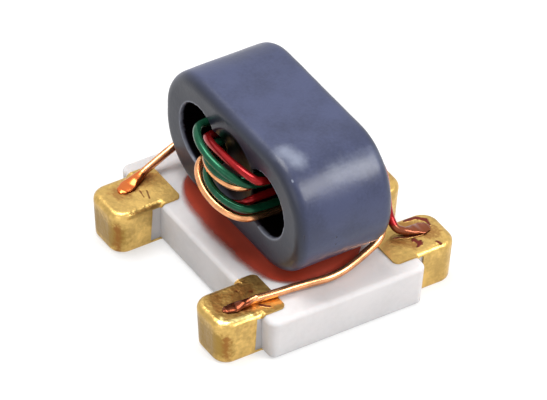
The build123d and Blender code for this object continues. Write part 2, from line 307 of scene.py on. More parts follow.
class Winder:
    """Works out the points of the windings from the sizes of the core and the wire."""

    def __init__(self, core, wire):
        self.radius = wire.diameter / MM / 2
        self.gap = wire.gap / MM
        self.step = 2 * self.radius + self.gap
        self.lead_clearance = wire.lead_clearance / MM
        self.hole_radius = core.hole_diameter / MM / 2
        self.hole_pitch = core.hole_pitch / MM
        self.hole_z = CORE_MIDDLE.z + core.hole_rise / MM
        self.end_radius = (CORE_SIZE.z - core.end_flat / MM) / 2
        self.bond_z = PAD_TOP + self.radius

    def hole_pass(self, side, slot, layer):
        """X and Z of a wire inside the left (-1) or right (1) hole."""
        wall = self.hole_radius - self.radius - self.gap
        angle = slot * self.step / wall
        reach = wall - layer * self.step
        x = CORE_MIDDLE.x + side * (self.hole_pitch / 2 - reach * math.cos(angle))
        return x, self.hole_z + reach * math.sin(angle)

    def crossing(self, start, end, face, outward, bulge, arch):
        """Points of a wire that leaves one hole at start, bows out over the web and enters at end."""
        points = []
        for step in range(CROSSING_RUNS + 1):
            swing = math.pi * step / CROSSING_RUNS
            along = (1 - math.cos(swing)) / 2
            x = start[0] + (end[0] - start[0]) * along
            z = start[1] + (end[1] - start[1]) * along + arch * math.sin(swing)
            points.append((x, face + outward * bulge * math.sin(swing), z))
        return points

    def coil(self, turns, returns):
        """Points of a winding, from where it enters the left hole to where it leaves the right one."""
        points = []
        for number, turn in enumerate(turns):
            left = self.hole_pass(-1, turn.left_slot, turn.left_layer)
            right = self.hole_pass(1, turn.right_slot, turn.right_layer)
            if number > 0:
                back = returns[number - 1]
                points += self.crossing(previous, left, CORE_HIGH.y, 1, back.steps * self.step, back.arch)
            else:
                points.append((left[0], CORE_HIGH.y, left[1]))
            points += self.crossing(left, right, CORE_LOW.y, -1, turn.bulge, turn.arch)
            previous = right
        points.append((previous[0], CORE_HIGH.y, previous[1]))
        return points

    def beside_end(self, side, z, spare=0.0):
        """X of a wire that runs along the core's end, just clear of it."""
        rise = abs(z - CORE_LOW.z - self.end_radius)
        end = CORE_SIZE.x / 2 - self.end_radius + math.sqrt(max(self.end_radius**2 - rise**2, 0))
        return CORE_MIDDLE.x + side * (end + self.radius + self.lead_clearance + spare)

    def back_exit(self, points, side, drift, rise):
        """A point just behind the core, between a hole's back mouth and the rest of a lead."""
        x, y, z = points[0] if side < 0 else points[-1]
        return x + drift, y + BACK_CLEARANCE, z + rise

    def copper(self):
        """From terminal 1 round the left end, two turns, and round the right end to terminal 2."""
        wound = self.coil(COPPER_TURNS, COPPER_RETURNS)
        low, back, middle = CORE_LOW.z, CORE_HIGH.y, CORE_MIDDLE.x
        half = CORE_SIZE.x / 2
        glue_end = middle + half - GLUE_END_SETBACK
        left_lead = [
            (-TAB_PITCH - 0.24, -PAD_START - 0.20, self.bond_z),
            (self.beside_end(-1, low + 0.21, 0.10), CORE_LOW.y + 0.14, low + 0.21),
            (self.beside_end(-1, low + 0.33, 0.05), CORE_MIDDLE.y, low + 0.33),
            (self.beside_end(-1, low + 0.43, 0.04), back - 0.25, low + 0.43),
            (self.beside_end(-1, low + 0.52), back + 0.07, low + 0.52),
            (middle - half + 0.50, back + 0.16, low + 0.68),
            self.back_exit(wound, -1, -0.12, -0.05),
        ]
        right_lead = [
            self.back_exit(wound, 1, 0.07, -0.01),
            (middle + half - 0.80, back + 0.17, low + 0.50),
            (middle + half - 0.56, back + 0.15, low + 0.31),
            (glue_end - 0.12, back + 0.09, self.bond_z + 0.13),
            (glue_end - 0.01, back - 0.22, self.bond_z + 0.07),
            (glue_end + 0.15, CORE_MIDDLE.y - 0.05, self.bond_z + 0.022),
            (glue_end + 0.06, CORE_LOW.y + 0.20, self.bond_z + 0.012),
            (TAB_PITCH + 0.155, -PAD_START - 0.02, self.bond_z + 0.006),
            (TAB_PITCH + 0.12, -PAD_START - 0.30, self.bond_z),
        ]
        return left_lead + wound + right_lead

    def red(self):
        """From the middle terminal 4, two turns, and down to terminal 3."""
        wound = self.coil(RED_TURNS, RED_RETURNS)
        back = CORE_HIGH.y
        left_lead = [
            (-0.13, PAD_START + 0.32, self.bond_z),
            (-0.17, back + 0.35, self.bond_z + 0.19),
            (-0.30, back + 0.30, self.hole_z - 0.50),
            self.back_exit(wound, -1, 0.02, -0.03),
        ]
        right_lead = [
            self.back_exit(wound, 1, 0.04, -0.03),
            (CORE_MIDDLE.x + self.hole_pitch / 2 + 0.10, back + 0.31, self.hole_z - 0.05),
            (TAB_PITCH - 0.36, back + 0.37, self.hole_z - 0.45),
            (TAB_PITCH - 0.30, back + 0.37, self.bond_z + 0.19),
            (TAB_PITCH - 0.14, PAD_START + 0.31, self.bond_z + 0.03),
            (TAB_PITCH - 0.06, PAD_START + 0.42, self.bond_z),
        ]
        return left_lead + wound + right_lead

    def green(self):
        """From terminal 5 at the back, three turns, and down to the middle terminal 4."""
        wound = self.coil(GREEN_TURNS, GREEN_RETURNS)
        back = CORE_HIGH.y
        left_lead = [
            (-TAB_PITCH + 0.03, PAD_START + 0.32, self.bond_z),
            (-TAB_PITCH + 0.06, back + 0.38, self.bond_z + 0.20),
            (-TAB_PITCH + 0.14, back + 0.42, self.hole_z - 0.45),
            (CORE_MIDDLE.x - self.hole_pitch / 2 - 0.15, back + 0.36, self.hole_z + 0.02),
            self.back_exit(wound, -1, -0.06, -0.04),
        ]
        right_lead = [
            self.back_exit(wound, 1, -0.03, -0.02),
            (0.36, back + 0.30, self.hole_z - 0.47),
            (0.19, back + 0.35, self.bond_z + 0.19),
            (0.13, PAD_START + 0.32, self.bond_z),
        ]
        return left_lead + wound + right_lead


# A pressed end: its heading in degrees, its length and width, how far back up the wire it is
# discoloured, and how burnt it is, from 0 for bared copper to 1 for charred enamel
Press = namedtuple("Press", "heading length width scorched char")
PRESSED_ENDS = {
    "copper_winding": (Press(-71, 0.48, 0.22, 0.02, 0.12), Press(-97, 0.46, 0.18, 0.0, 0.9)),
    "red_winding": (Press(92, 0.38, 0.17, 0.3, 1.0), Press(88, 0.36, 0.23, 0.32, 0.8)),
    "green_winding": (Press(92, 0.38, 0.17, 0.3, 1.0), Press(88, 0.38, 0.17, 0.3, 1.0)),
}

# How a pressed end spreads along its length: share of the length, of its width and of its thickness
SPREAD = [(0.0, 0.5, 2.44), (0.35, 0.75, 1.8), (0.65, 1.0, 1.0), (0.90, 0.75, 0.8), (1.0, 0.30, 0.5)]


# --- Marks ---

# A mark runs from one place to another, in millimetres; soft and ragged shape its edge
Mark = namedtuple("Mark", "start end width soft ragged")


def on_pad(start, end, width, soft=0.5, ragged=0.5):
    """A mark on the top of a terminal."""
    return Mark((*start, PAD_TOP), (*end, PAD_TOP), width, soft, ragged)


# Painted shade: the front faces of the two front terminals' tips are darkened in the colour.
# Tarnishes, burnishes, wear and rubs copy the photograph's shade and highlights, which the shader
# and the lamps should make; they aren't known to be marks on the part
PAINTED_TIP_SHADES = [
    Mark((-1.46, -1.75, 0.28), (-1.10, -1.75, 0.28), 0.66, 0.6, 0.5),
    Mark((1.09, -1.75, 0.28), (1.44, -1.75, 0.28), 0.66, 0.6, 0.5),
]
HEAT_STAINS = [
    # The first two brown a streak down the outer corner of two front tip faces
    Mark((-0.985, -1.725, 0.44), (-0.985, -1.725, 0.02), 0.18, 1.0, 0.9),
    Mark((1.61, -1.68, 0.44), (1.61, -1.68, 0.02), 0.18, 1.0, 0.9),
    on_pad((-1.47, -1.02), (-1.36, -1.44), 0.44, 1.0, 0.9),
    on_pad((1.10, -1.10), (1.40, -1.40), 0.62, 1.0, 1.0),
    on_pad((1.05, -1.50), (1.30, -1.60), 0.30, 1.0, 1.0),
    on_pad((1.10, 1.36), (1.32, 1.55), 0.40, 0.7, 0.9),
    on_pad((1.25, 1.05), (1.45, 1.22), 0.24, 1.0, 0.9),
    on_pad((0.02, 1.20), (0.05, 1.62), 0.40, 0.9, 0.9),
    on_pad((-1.27, 1.18), (-1.22, 1.56), 0.36, 0.9, 0.9),
]
RESIDUES = [
    on_pad((0.97, 1.40), (0.99, 1.54), 0.085, 0.5, 0.6),
    on_pad((0.99, 1.54), (1.08, 1.63), 0.080, 0.5, 0.6),
    on_pad((1.08, 1.63), (1.20, 1.62), 0.060, 0.6, 0.7),
    on_pad((1.20, 1.08), (1.28, 1.26), 0.045, 0.6, 0.7),
    on_pad((1.28, 1.26), (1.31, 1.43), 0.045, 0.6, 0.7),
    on_pad((1.36, 1.28), (1.46, 1.31), 0.095, 0.5, 1.0),
    on_pad((1.41, 1.35), (1.50, 1.25), 0.050, 0.6, 1.0),
    on_pad((1.53, 1.52), (1.59, 1.54), 0.055, 0.6, 0.8),
    on_pad((1.21, 1.45), (1.25, 1.50), 0.070, 0.8, 0.9),
    on_pad((1.47, -1.09), (1.55, -1.01), 0.055, 0.7, 0.9),
]
SCORES = [
    on_pad((-1.27, -1.22), (-1.13, -1.24), 0.034, 0.8, 0.5),
    on_pad((-1.22, -1.14), (-1.07, -1.19), 0.034, 0.8, 0.5),
    on_pad((1.08, -1.21), (1.10, -1.20), 0.075, 1.0, 0.6),
    on_pad((1.17, -1.06), (1.19, -1.05), 0.075, 1.0, 0.6),
]
# Painted highlights along the top edges at the tip of the right front terminal
PAINTED_EDGE_GLINTS = [
    on_pad((1.44, -1.66), (1.52, -1.72), 0.10, 1.0, 0.6),
    on_pad((1.54, -1.64), (1.575, -1.30), 0.10, 1.0, 0.6),
]
PITS = [
    Mark((1.645, -0.585, 1.70), (1.640, -0.585, 1.58), 0.035, 0.8, 0.6),
    Mark((1.680, -0.12, 1.50), (1.680, -0.12, 1.50), 0.030, 0.8, 0.6),
    Mark((1.665, -0.12, 1.38), (1.665, -0.12, 1.38), 0.026, 0.8, 0.6),
    Mark((-0.47, -0.66, 2.38), (-0.45, -0.66, 2.38), 0.026, 0.8, 0.6),
]
# Painted highlight: a pale sheen along the core's rounded end at +X
CORE_END_SHEEN = [Mark((1.34, 0.06, 2.225), (1.34, 0.58, 2.225), 0.52, 1.0, 0.35)]
# Painted highlights: a soft pale patch on the core's front top edge and a small glint near its end
CORE_EDGE_HIGHLIGHTS = [
    Mark((0.90, -0.43, 2.43), (1.08, -0.37, 2.41), 0.42, 1.0, 0.2),
    Mark((1.28, -0.57, 2.37), (1.31, -0.56, 2.32), 0.035, 0.8, 0.8),
]


# --- Materials ---

# Depth of the fine relief of each finish, in millimetres
RELIEF = {"moulding": 0.006, "gold": 0.014, "coating": 0.006, "adhesive": 0.003, "enamel": 0.001}

# How far each kind of mark replaces the colour under it
STAIN_STRENGTH = 0.72
SCORE_STRENGTH = 0.8
STREAK_STRENGTH = 0.35
# The next three set how strongly the painted highlights lighten the core
EDGE_HIGHLIGHT_STRENGTH = 0.38
END_SHEEN_STRENGTH = 0.15
RIM_HIGHLIGHT_STRENGTH = 0.45


class Nodes:
    """Adds nodes to a tree and links them in one line each."""

    def __init__(self, tree):
        self.tree = tree

    def add(self, kind, inputs=None, **settings):
        node = self.tree.nodes.new(kind)
        for setting, value in settings.items():
            setattr(node, setting, value)
        for socket, value in (inputs or {}).items():
            if isinstance(value, bpy.types.NodeSocket):
                self.tree.links.new(value, node.inputs[socket])
            else:
                node.inputs[socket].default_value = value
        return node

    def feed(self, node, socket, value):
        """Links a changing value to a socket of a node."""
        self.tree.links.new(value, node.inputs[socket])

    def painted(self, attribute):
        """The value that a piece's points hold under a name."""
        return self.add("ShaderNodeAttribute", attribute_name=attribute).outputs["Fac"]

    def math(self, operation, first, second=0.0, clamp=False):
        inputs = {0: first, 1: second}
        return self.add("ShaderNodeMath", inputs, operation=operation, use_clamp=clamp).outputs[0]

    def plus(self, first, second):
        return self.math("ADD", first, second)

    def minus(self, first, second):
        return self.math("SUBTRACT", first, second)

    def times(self, first, second):
        return self.math("MULTIPLY", first, second)

    def highest(self, first, second):
        return self.math("MAXIMUM", first, second)

    def vector(self, operation, first, second=(0, 0, 0), scale=1.0):
        given = {0: first, 3: scale} if operation == "SCALE" else {0: first, 1: second}
        node = self.add("ShaderNodeVectorMath", given, operation=operation)
        return node.outputs["Value" if operation in ("DOT_PRODUCT", "LENGTH") else "Vector"]

    def mix(self, factor, first, second):
        node = self.add("ShaderNodeMix", data_type="RGBA")
        for socket, value in ((0, factor), (6, first), (7, second)):
            if isinstance(value, bpy.types.NodeSocket):
                self.tree.links.new(value, node.inputs[socket])
            elif socket == 0:
                node.inputs[socket].default_value = value
            else:
                node.inputs[socket].default_value = (*value, 1) if len(value) == 3 else value
        return node.outputs[2]

    def ramp(self, factor, start, end):
        """0 below start, 1 above end."""
        node = self.add("ShaderNodeMapRange", {0: factor, 1: start, 2: end, 3: 0.0, 4: 1.0})
        node.interpolation_type = "SMOOTHSTEP"
        return node.outputs[0]

    def noise(self, place, scale, detail=2.0, roughness=0.5):
        node = self.add(
            "ShaderNodeTexNoise", {"Vector": place, "Scale": scale, "Detail": detail, "Roughness": roughness}
        )
        return node.outputs["Fac"]


def group_tree(name, inputs, outputs):
    """An empty node group with its sockets: (name, kind, default) for inputs, (name, kind) for outputs."""
    tree = bpy.data.node_groups.new(name, "ShaderNodeTree")
    for socket, kind, default in inputs:
        made = tree.interface.new_socket(socket, in_out="INPUT", socket_type=kind)
        if default is not None:
            made.default_value = default
    for socket, kind in outputs:
        tree.interface.new_socket(socket, in_out="OUTPUT", socket_type=kind)
    nodes = Nodes(tree)
    return nodes, nodes.add("NodeGroupInput"), nodes.add("NodeGroupOutput")


def mottle_group():
    """Patches of two sizes that vary a finish, and a height for its fine relief."""
    inputs = [
        ("Place", "NodeSocketVector", None),
        ("Patches per mm", "NodeSocketFloat", 3.0),
        ("Grains per mm", "NodeSocketFloat", 20.0),
        ("Grain share", "NodeSocketFloat", 0.3),
    ]
    nodes, given, made = group_tree(
        "Mottle", inputs, [("Mask", "NodeSocketFloat"), ("Height", "NodeSocketFloat")]
    )
    per_metre = 1 / MM
    wide = nodes.noise(given.outputs[0], nodes.times(given.outputs[1], per_metre), 3.0)
    fine = nodes.noise(given.outputs[0], nodes.times(given.outputs[2], per_metre), 2.0)
    wide_part = nodes.times(wide, nodes.minus(1.0, given.outputs[3]))
    both = nodes.plus(wide_part, nodes.times(fine, given.outputs[3]))
    nodes.feed(made, "Mask", nodes.ramp(both, 0.35, 0.65))
    nodes.feed(made, "Height", both)
    return nodes.tree


def streak_group():
    """A mark along a line between two places, in millimetres, soft and ragged at its edge."""
    inputs = [
        ("Place", "NodeSocketVector", None),
        ("Start", "NodeSocketVector", (0, 0, 0)),
        ("End", "NodeSocketVector", (1, 0, 0)),
        ("Width", "NodeSocketFloat", 0.1),
        ("Soft", "NodeSocketFloat", 0.3),
        ("Ragged", "NodeSocketFloat", 0.3),
    ]
    nodes, given, made = group_tree("Streak", inputs, [("Mask", "NodeSocketFloat")])
    place = nodes.vector("SCALE", given.outputs["Place"], scale=1 / MM)
    whole = nodes.vector("SUBTRACT", given.outputs["End"], given.outputs["Start"])
    here = nodes.vector("SUBTRACT", place, given.outputs["Start"])
    ahead = nodes.vector("DOT_PRODUCT", here, whole)
    share = nodes.math("DIVIDE", ahead, nodes.vector("DOT_PRODUCT", whole, whole), clamp=True)
    beside = nodes.vector("SUBTRACT", here, nodes.vector("SCALE", whole, scale=share))
    off = nodes.math("DIVIDE", nodes.vector("LENGTH", beside), given.outputs["Width"])
    rough_edge = nodes.minus(nodes.noise(place, 14.0, 3.0, 0.6), 0.5)
    off = nodes.plus(off, nodes.times(rough_edge, given.outputs["Ragged"]))
    inner = nodes.minus(0.5, nodes.times(given.outputs["Soft"], 0.5))
    nodes.feed(made, "Mask", nodes.ramp(off, 0.5, inner))
    return nodes.tree


def new_material(name):
    """A material with a bare Principled shader, and the nodes and shader to build it up with."""
    material = bpy.data.materials.new(name)
    material.use_nodes = True
    nodes = Nodes(material.node_tree)
    shader = material.node_tree.nodes["Principled BSDF"]
    place = nodes.add("ShaderNodeTexCoord").outputs["Object"]
    return material, nodes, shader, place


def set_sockets(node, values):
    """Sets a node's own sockets to what is the same all over a finish."""
    for socket, value in values.items():
        node.inputs[socket].default_value = value


def mottle(nodes, place, patches, grains, share):
    """The Mottle group placed in a material."""
    group = nodes.add("ShaderNodeGroup", node_tree=bpy.data.node_groups["Mottle"])
    nodes.feed(group, "Place", place)
    set_sockets(group, {"Patches per mm": patches, "Grains per mm": grains, "Grain share": share})
    return group.outputs["Mask"], group.outputs["Height"]


def marks(nodes, place, marked):
    """The strongest of several marks, through the Streak group."""
    strongest = None
    for mark in marked:
        group = nodes.add("ShaderNodeGroup", node_tree=bpy.data.node_groups["Streak"])
        nodes.feed(group, "Place", place)
        set_sockets(group, {name.title(): value for name, value in mark._asdict().items()})
        mask = group.outputs["Mask"]
        strongest = mask if strongest is None else nodes.highest(strongest, mask)
    return strongest


def relief(nodes, height, depth):
    """A bump of a depth in millimetres."""
    return nodes.add("ShaderNodeBump", {"Distance": depth * MM, "Height": height}).outputs[0]


def shade(tint, factor):
    """A colour made lighter or darker."""
    return tuple(min(1.0, part * factor) for part in tint)


def moulding_material(colours):
    """White moulded plastic, slightly cloudy and soft in the light."""
    material, nodes, shader, place = new_material("White moulding")
    mask, height = mottle(nodes, place, 1.2, 14.0, 0.25)
    tint = nodes.mix(mask, shade(colours.moulding, 0.95), shade(colours.moulding, 1.04))
    nodes.feed(shader, "Base Color", tint)
    nodes.feed(shader, "Normal", relief(nodes, height, RELIEF["moulding"]))
    set_sockets(
        shader,
        {
            "Roughness": 0.75,
            "Specular IOR Level": 0.12,
            "Subsurface Weight": 0.5,
            "Subsurface Radius": (1.0, 0.8, 0.7),
            "Subsurface Scale": 0.25 * MM,
        },
    )
    return material


def gold_material(colours):
    """Gold plating with a soft, dented face, browned and marked where the wires were pressed on."""
    material, nodes, shader, place = new_material("Gold plating")
    mask, height = mottle(nodes, place, 3.6, 17.0, 0.35)
    drawn_out = nodes.add("ShaderNodeMapping", {"Vector": place, "Scale": (1.0, 1.0, 0.22)}).outputs[0]
    streaks, streak_height = mottle(nodes, drawn_out, 7.0, 24.0, 0.3)
    varied = nodes.mix(mask, shade(colours.gold, 0.80), shade(colours.gold, 1.25))
    varied = nodes.mix(nodes.times(streaks, STREAK_STRENGTH), varied, shade(colours.gold, 0.62))
    # Painted shade on the front faces of the tips
    varied = nodes.mix(marks(nodes, place, PAINTED_TIP_SHADES), varied, colours.tarnish)
    heat = nodes.times(marks(nodes, place, HEAT_STAINS), STAIN_STRENGTH)
    browned = nodes.mix(heat, varied, colours.stain)
    melted = marks(nodes, place, RESIDUES)
    scored = marks(nodes, place, SCORES)
    dark = nodes.highest(melted, nodes.times(scored, SCORE_STRENGTH))
    # Painted highlight along the top edge of a terminal's tip
    glint_painted = nodes.mix(marks(nodes, place, PAINTED_EDGE_GLINTS), browned, colours.burnish)
    nodes.feed(shader, "Base Color", nodes.mix(dark, glint_painted, colours.residue))
    nodes.feed(shader, "Metallic", nodes.minus(1.0, nodes.times(melted, 0.4)))
    rough = nodes.plus(nodes.times(mask, -0.12), 0.42)
    rough = nodes.plus(rough, nodes.times(melted, 0.25))
    nodes.feed(shader, "Roughness", rough)
    face = nodes.plus(height, nodes.times(streak_height, 0.4))
    face = nodes.plus(face, nodes.times(melted, 0.9))
    face = nodes.minus(face, nodes.times(scored, 0.15))
    nodes.feed(shader, "Normal", relief(nodes, face, RELIEF["gold"]))
    return material


def coating_material(colours):
    """Satin blue-grey coating, thinner and greyer on the ground faces, bare and dark in the bores, with
    painted shade in the bores and dishes and painted highlights on its edges, end and hole rims.
    """
    material, nodes, shader, place = new_material("Core coating")
    mask, height = mottle(nodes, place, 1.4, 26.0, 0.25)
    tint = nodes.mix(mask, shade(colours.coating, 0.78), shade(colours.coating, 1.16))
    ground = nodes.painted("ground")
    bore = nodes.painted("bore")
    rim = nodes.painted("rim")
    faced = nodes.mix(ground, tint, colours.ground)
    # Bare ferrite in the bores and dishes, deepened to near-black there as painted shade
    bare_and_shaded = nodes.mix(bore, faced, colours.bore)
    # Painted highlights: the core's front top edge, the sheen on its rounded end and the hole rims
    edge_highlights = nodes.times(marks(nodes, place, CORE_EDGE_HIGHLIGHTS), EDGE_HIGHLIGHT_STRENGTH)
    worn = nodes.times(marks(nodes, place, CORE_END_SHEEN), END_SHEEN_STRENGTH)
    painted_highlights = nodes.highest(nodes.times(rim, RIM_HIGHLIGHT_STRENGTH), nodes.highest(edge_highlights, worn))
    bright = nodes.mix(painted_highlights, bare_and_shaded, colours.polish)
    pitted = marks(nodes, place, PITS)
    nodes.feed(shader, "Base Color", nodes.mix(pitted, bright, colours.bore))
    # Ferrite is no metal: a dark metallic bore only keeps the bright surroundings out of the holes
    nodes.feed(shader, "Metallic", bore)
    rough = nodes.plus(nodes.times(mask, 0.08), 0.30)
    nodes.feed(shader, "Roughness", rough)
    face = nodes.minus(height, nodes.times(pitted, 2.0))
    nodes.feed(shader, "Normal", relief(nodes, face, RELIEF["coating"]))
    shader.inputs["Specular IOR Level"].default_value = 0.34
    return material


def adhesive_material(colours):
    """Dark red adhesive that thins to a stain at its edge."""
    material, nodes, shader, place = new_material("Adhesive")
    mask, height = mottle(nodes, place, 2.4, 12.0, 0.35)
    tint = nodes.mix(mask, shade(colours.adhesive, 0.85), shade(colours.adhesive, 1.08))
    film = nodes.painted("film")
    # Darker towards the foot of the core
    toward_core = nodes.ramp(film, 0.5, 1.5)
    nodes.feed(shader, "Base Color", nodes.mix(toward_core, tint, shade(colours.adhesive, 0.6)))
    cloudy = nodes.plus(film, nodes.times(nodes.minus(mask, 0.5), 0.08))
    nodes.feed(shader, "Alpha", nodes.ramp(cloudy, 0.0, 1.0))
    nodes.feed(shader, "Normal", relief(nodes, height, RELIEF["adhesive"]))
    set_sockets(shader, {"Roughness": 0.6, "Specular IOR Level": 0.12})
    return material


def enamel_material(name, tint, colours, metallic):
    """Glossy enamel over copper wire, bared or burnt where its end was pressed hot."""
    material, nodes, shader, place = new_material(name)
    mask, height = mottle(nodes, place, 6.0, 30.0, 0.3)
    varied = nodes.mix(mask, shade(tint, 0.8), shade(tint, 1.15))
    scorch = nodes.painted("scorch")
    char = nodes.painted("char")
    charred = nodes.mix(mask, shade(colours.burnt, 0.6), shade(colours.burnt, 1.6))
    pressed = nodes.mix(char, colours.blush, charred)
    nodes.feed(shader, "Base Color", nodes.mix(scorch, varied, pressed))
    nodes.feed(shader, "Normal", relief(nodes, height, RELIEF["enamel"]))
    set_sockets(shader, {"Metallic": metallic, "Roughness": 0.2, "Specular IOR Level": 0.35})
    return material


# --- Pieces ---


# Where the core's coating changes, in millimetres
LUMP_WIDTH = 0.5
FACE_SKIN = 0.03
BORE_FADE = 0.02
GROUND_FADE = 0.12
# The rim band is a painted highlight: a pale line round the outer rims of the hole mouths
RIM_OFFSET = 0.012
RIM_WIDTH = 0.022
RIM_DEPTH = 0.05
RIM_START = -0.12

# How squarely the bead's outer and inner outlines run
GLUE_SQUARENESS = 2.8
FOOT_SQUARENESS = 6.0

# How far a wire's end goes from bright to scorched, and the relief of a pressed end
SCORCH_FADE = 0.10
PRESS_WOBBLE = 0.07


def clamp(value):
    """A value kept between 0 and 1."""
    return min(max(value, 0), 1)


def core_blank(core):
    """The bar of the core: rounded ends, softened outline, two bores and a hollow at each mouth."""
    bpy.ops.object.select_all(action="DESELECT")
    bpy.ops.mesh.primitive_cube_add(size=1, location=CORE_MIDDLE, scale=CORE_SIZE)
    blank = new_piece("core")
    end_radius = (CORE_SIZE.z - core.end_flat / MM) / 2
    bevel_edges(blank, lambda a, b: abs(a.y - b.y) > CORE_SIZE.y / 2, end_radius, 28)
    bevel_edges(blank, lambda a, b: abs(a.y - b.y) < 1e-4, core.edge_round / MM, 8)
    hole_z = CORE_MIDDLE.z + core.hole_rise / MM
    for side in (-1, 1):
        bpy.ops.object.select_all(action="DESELECT")
        bpy.ops.mesh.primitive_cylinder_add(
            vertices=96,
            radius=core.hole_diameter / MM / 2,
            depth=CORE_SIZE.y + 1,
            location=(CORE_MIDDLE.x + side * core.hole_pitch / MM / 2, CORE_MIDDLE.y, hole_z),
            rotation=(math.pi / 2, 0, 0),
        )
        cut(blank, new_piece("bore"))
    half_dish = core.dish_diameter / MM / 2
    depth = core.dish_depth / MM
    dish_radius = (half_dish**2 + depth**2) / (2 * depth)
    reach = CORE_SIZE.y / 2 + dish_radius - depth
    for side in (-1, 1):
        bpy.ops.object.select_all(action="DESELECT")
        bpy.ops.mesh.primitive_uv_sphere_add(
            segments=128,
            ring_count=96,
            radius=dish_radius,
            location=(CORE_MIDDLE.x, CORE_MIDDLE.y + side * reach, hole_z),
        )
        cut(blank, new_piece("dish"))
    return blank


def make_core(core, material):
    """The coated core, its surface rebuilt in even cells, then softened and given its lumps."""
    piece = core_blank(core)
    modify(piece, "REMESH", mode="VOXEL", voxel_size=core.skin / MM)
    modify(piece, "SMOOTH", factor=0.5, iterations=6)
    lumps = clouds("Coating lumps", LUMP_WIDTH)
    modify(piece, "DISPLACE", texture=lumps, texture_coords="LOCAL", strength=core.lumps / MM)
    hole_z = CORE_MIDDLE.z + core.hole_rise / MM
    hole_radius = core.hole_diameter / MM / 2

    def from_bore(place):
        """How far outside the nearest bore's wall a point lies."""
        side = 1 if place.x > CORE_MIDDLE.x else -1
        across = place.x - CORE_MIDDLE.x - side * core.hole_pitch / MM / 2
        return math.hypot(across, place.z - hole_z) - hole_radius

    def depth_of(place):
        """How far behind the nearer face a point lies."""
        return CORE_SIZE.y / 2 - abs(place.y - CORE_MIDDLE.y)

    # Bare ferrite in the bores and over the dishes, darkened there as painted shade
    def bore(place):
        from_dish = math.hypot(place.x - CORE_MIDDLE.x, place.z - hole_z) - core.dish_diameter / MM / 2
        inside = clamp((FACE_SKIN - min(from_bore(place), from_dish)) / BORE_FADE)
        return inside * clamp((depth_of(place) - FACE_SKIN) / FACE_SKIN)

    def ground(place):
        return clamp(1 - (depth_of(place) - 0.01) / GROUND_FADE)

    # Painted highlight: a pale band round the outer rim of each hole's mouth
    def rim(place):
        outward = abs(place.x - CORE_MIDDLE.x) - core.hole_pitch / MM / 2
        near = max(1 - abs(from_bore(place) - RIM_OFFSET) / RIM_WIDTH, 0)
        return near if depth_of(place) < RIM_DEPTH and outward > RIM_START else 0.0

    paint(piece, "bore", bore)
    paint(piece, "ground", ground)
    paint(piece, "rim", rim)
    finish_piece(piece, ["ferrite_core"], material)
    return piece


def glue_outline(angle, outer):
    """A point of the bead's outline, or of the core's footprint, at an angle round the core."""
    if outer:
        half_x = GLUE_HIGH.x - CORE_MIDDLE.x
        half_y = (GLUE_HIGH.y - GLUE_LOW.y) / 2
        middle_y = (GLUE_HIGH.y + GLUE_LOW.y) / 2
        squareness = GLUE_SQUARENESS
    else:
        half_x = GLUE_HIGH.x - CORE_MIDDLE.x - 0.14
        half_y = CORE_SIZE.y / 2 - 0.03
        middle_y = CORE_MIDDLE.y
        squareness = FOOT_SQUARENESS
    across, along = math.cos(angle), math.sin(angle)
    reach = (abs(across) ** squareness + abs(along) ** squareness) ** (-1 / squareness)
    return Vector((CORE_MIDDLE.x + half_x * reach * across, middle_y + half_y * reach * along, 0))


def make_adhesive(glue, material):
    """The bead: a film that thins out on the base and climbs the foot of the core."""
    bpy.ops.object.select_all(action="DESELECT")
    bpy.ops.mesh.primitive_grid_add(x_subdivisions=180, y_subdivisions=16, size=2)
    piece = new_piece("adhesive_bead")
    film = glue.film / MM
    climb = GLUE_HIGH.z - BASE_TOP
    cover = piece.data.attributes.new("film", "FLOAT", "POINT")
    for vertex in piece.data.vertices:
        angle = math.pi * vertex.co.x
        share = (1 + vertex.co.y) / 2
        place = glue_outline(angle, True).lerp(glue_outline(angle, False), share)
        cover.data[vertex.index].value = share / glue.feather_share
        ripple = 0.025 * noise.noise(place * 2.5) * (1 - share)
        place += ripple * Vector((math.cos(angle), math.sin(angle), 0))
        place.z = BASE_TOP + film + (climb - film) * share**2.4
        vertex.co = place
    with editing(piece) as mesh:
        bpy.ops.mesh.select_all(action="SELECT")
        bpy.ops.mesh.remove_doubles(threshold=1e-5)
        bpy.ops.mesh.select_mode(type="EDGE")
        bpy.ops.mesh.select_all(action="DESELECT")
        for edge in mesh.edges:
            if edge.is_boundary and edge.verts[0].co.z < BASE_TOP + 2 * film:
                edge.select_set(True)
        bpy.ops.mesh.extrude_region_move(TRANSFORM_OT_translate={"value": (0, 0, -film)})
        bpy.ops.mesh.select_all(action="DESELECT")
        bpy.ops.mesh.select_non_manifold()
        bpy.ops.mesh.edge_face_add()
        bpy.ops.mesh.select_all(action="SELECT")
        bpy.ops.mesh.normals_make_consistent(inside=False)
    finish_piece(piece, ["adhesive"], material)
    return piece


def tube(name, points, radius, sides=20):
    """A round wire along a smooth line through a route."""
    curve = bpy.data.curves.new(name, "CURVE")
    curve.dimensions = "3D"
    spline = curve.splines.new("NURBS")
    spline.points.add(len(points) - 1)
    for point, place in zip(spline.points, points):
        point.co = (*place, 1)
    spline.order_u = 3
    spline.use_endpoint_u = True
    spline.resolution_u = 14
    curve.bevel_depth = radius
    curve.bevel_resolution = (sides - 4) // 2
    curve.use_fill_caps = True
    piece = bpy.data.objects.new(name, curve)
    bpy.context.scene.collection.objects.link(piece)
    select_only(piece)
    bpy.ops.object.convert(target="MESH")
    return bpy.context.active_object


def direction(press):
    """The way a pressed end points on its pad."""
    turn = math.radians(press.heading)
    return Vector((math.cos(turn), math.sin(turn), 0))


def lead_in(start, press):
    """Extra route points along a pressed end, from its tip to where the wire lifts off the pad."""
    heading = direction(press)
    return [Vector(start) + heading * press.length * share for share in (1.0, 0.8, 0.6, 0.4, 0.2)]


